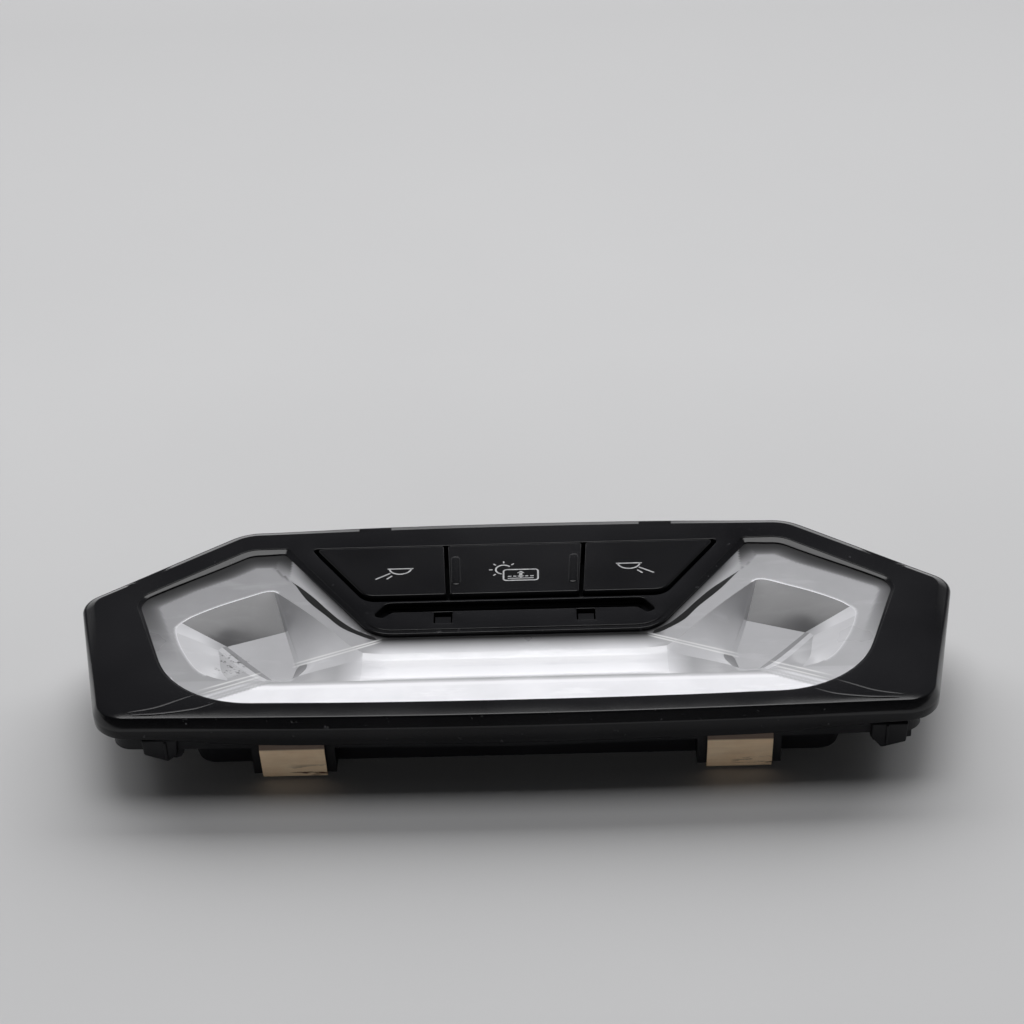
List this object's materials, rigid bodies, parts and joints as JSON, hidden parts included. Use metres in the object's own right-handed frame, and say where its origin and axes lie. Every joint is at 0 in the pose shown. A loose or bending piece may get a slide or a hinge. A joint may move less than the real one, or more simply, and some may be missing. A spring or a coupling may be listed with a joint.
{
  "type": "car dome light",
  "caption": "Black overhead roof lamp with a U-shaped clear lens, reading-lamp bowls, a light bar, reading keys and a roof-blind rocker, held by spring clips.",
  "frame": {"origin": "Centre of the resting plane under the rear housing, in the middle of the bezel's outline", "axes": "+X along the lamp to the right of the picture, +Y away from the camera, +Z out of the visible face"},
  "size_m": [0.2192, 0.0834, 0.022],
  "materials": {
    "bezel_plastic": "fine satin moulded black with a few nicks along its edges",
    "lens_clear": "clear polished polycarbonate with frosted bowl windows",
    "reflector_satin": "satin silver-grey",
    "guide_milky": "milky diffuser",
    "optic_clear": "clear polished optic",
    "key_plastic": "soft matt black with pale grey printed symbols",
    "frame_plastic": "plain moulded black",
    "switch_plastic": "plain moulded dark grey",
    "stem_plastic": "natural white moulding",
    "board_laminate": "green solder-masked laminate",
    "chip_black": "moulded component black",
    "led_package": "white package with a yellow phosphor face",
    "contact_metal": "tinned",
    "housing_plastic": "plain moulded black",
    "clip_steel": "passivated spring steel, tan, with brown stains",
    "pin_steel": "plain bright steel"
  },
  "bodies": {
    "root": {"bezel": "bezel_plastic", "lens": "lens_clear", "reflector": "reflector_satin", "light_guide_bar": "guide_milky", "left_collimator": "optic_clear", "right_collimator": "optic_clear", "switch_frame": "frame_plastic", "left_switch": "switch_plastic", "right_switch": "switch_plastic", "near_rocker_switch": "switch_plastic", "far_rocker_switch": "switch_plastic", "circuit_board": "board_laminate", "board_parts": "chip_black", "left_reading_led": "led_package", "right_reading_led": "led_package", "bar_led_row": "led_package", "symbol_leds": "led_package", "plug_socket": "frame_plastic", "socket_contacts": "contact_metal", "rear_housing": "housing_plastic", "near_left_clip": "clip_steel", "near_right_clip": "clip_steel", "far_left_clip": "clip_steel", "far_right_clip": "clip_steel", "housing_screws": "pin_steel"},
    "left_key": {"left_reading_button": "key_plastic", "left_switch_stem": "stem_plastic"},
    "right_key": {"right_reading_button": "key_plastic", "right_switch_stem": "stem_plastic"},
    "blind_rocker": {"centre_button": "key_plastic", "rocker_pin": "pin_steel", "near_rocker_stem": "stem_plastic", "far_rocker_stem": "stem_plastic"}
  },
  "joints": [
    {"name": "left_key_press", "type": "slide", "parent": "root", "child": "left_key", "axis": [0, 0, -1], "range_m": [0, 0.0008], "stiffness_N_per_m": 1500, "springref_m": -0.0004},
    {"name": "right_key_press", "type": "slide", "parent": "root", "child": "right_key", "axis": [0, 0, -1], "range_m": [0, 0.0008], "stiffness_N_per_m": 1500, "springref_m": -0.0004},
    {"name": "blind_rocker_tilt", "type": "hinge", "parent": "root", "child": "blind_rocker", "pos_m": [0, 0.01855, 0.0171], "axis": [1, 0, 0], "range_deg": [-2.8, 2.8], "stiffness_Nm_per_rad": 0.5}
  ]
}
